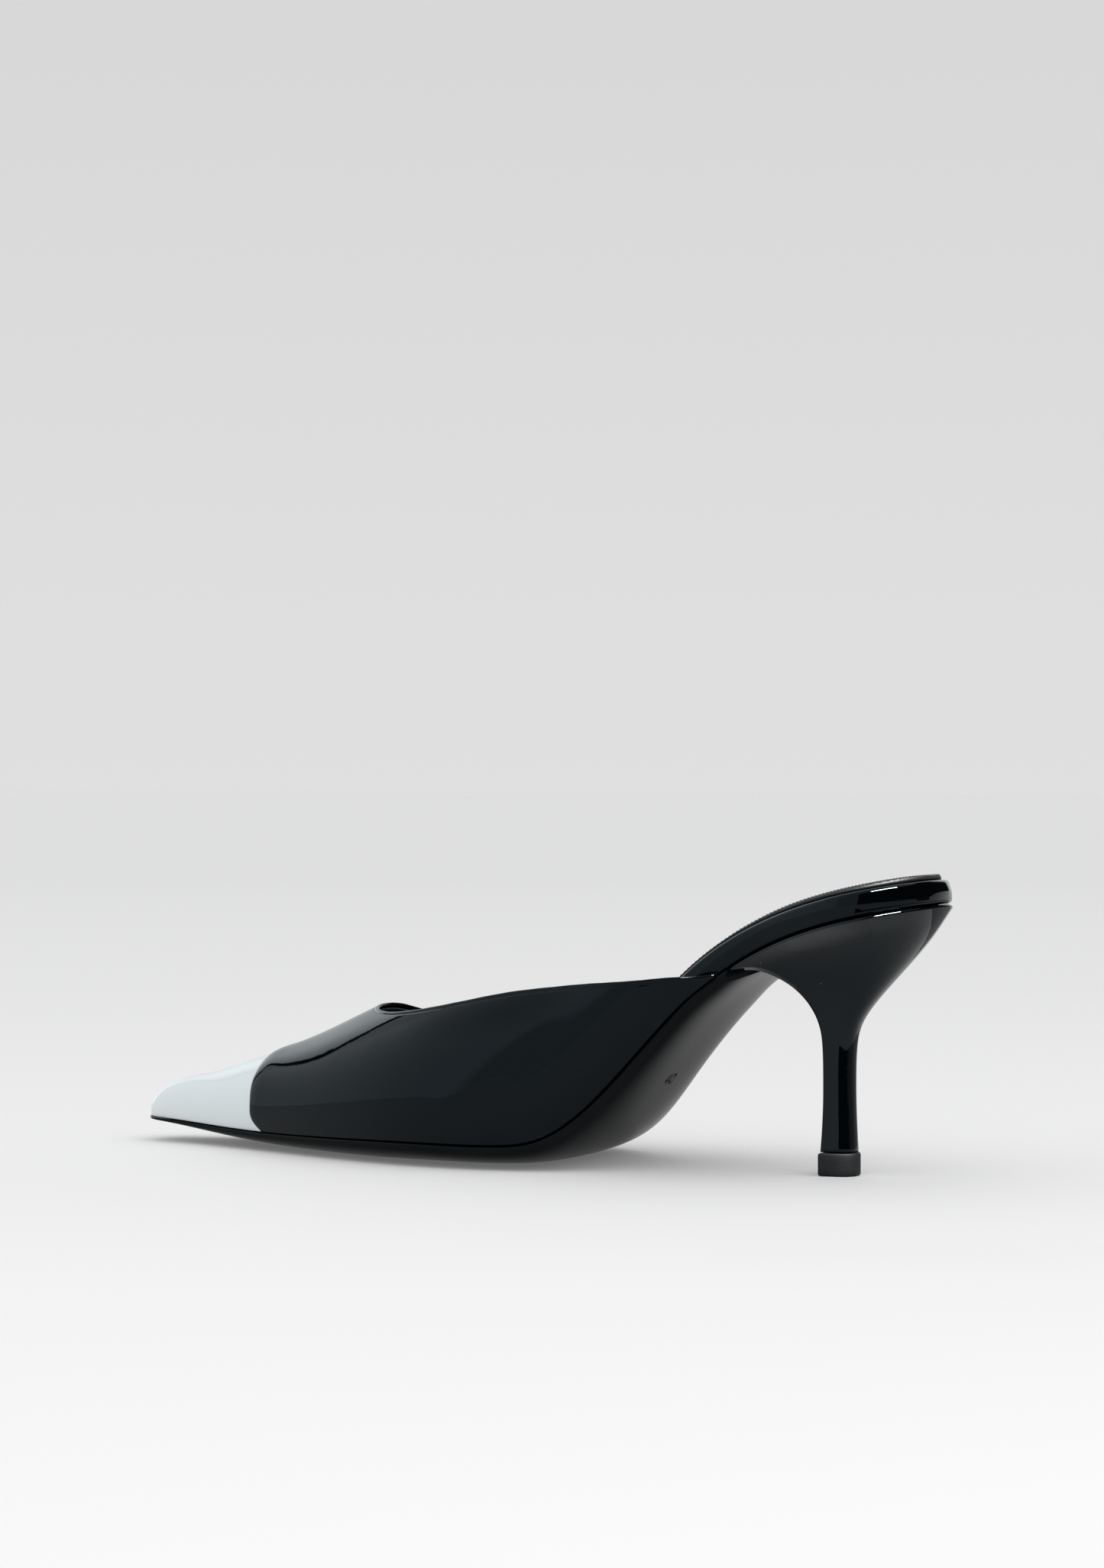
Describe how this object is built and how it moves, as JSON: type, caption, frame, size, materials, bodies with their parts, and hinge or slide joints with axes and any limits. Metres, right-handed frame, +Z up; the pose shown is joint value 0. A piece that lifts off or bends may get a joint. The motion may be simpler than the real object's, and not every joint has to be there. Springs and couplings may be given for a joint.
{
  "type": "kitten heel mule",
  "caption": "Pointed slip-on mule with a patent upper, a contrasting toe cap, an open back, a thin outsole and a slim covered kitten heel.",
  "frame": {"origin": "middle of the bounding box in plan, on the floor", "axes": "+X from the toe to the heel, +Y towards the outer side of the foot, +Z up"},
  "size_m": [0.2486, 0.0802, 0.0809],
  "materials": {
    "black_patent": "black patent leather with a high gloss coat",
    "white_patent": "cool white patent leather with a gloss coat",
    "sock_leather": "black grained lining leather, semi-matt",
    "sole_leather": "black painted leather, satin",
    "black_rubber": "matt black top piece"
  },
  "bodies": {
    "root": {"upper": "black_patent", "toe_cap": "white_patent", "insole": "black_patent", "sock": "sock_leather", "outsole": "sole_leather", "heel": "black_patent", "top_piece": "black_rubber"}
  },
  "joints": []
}
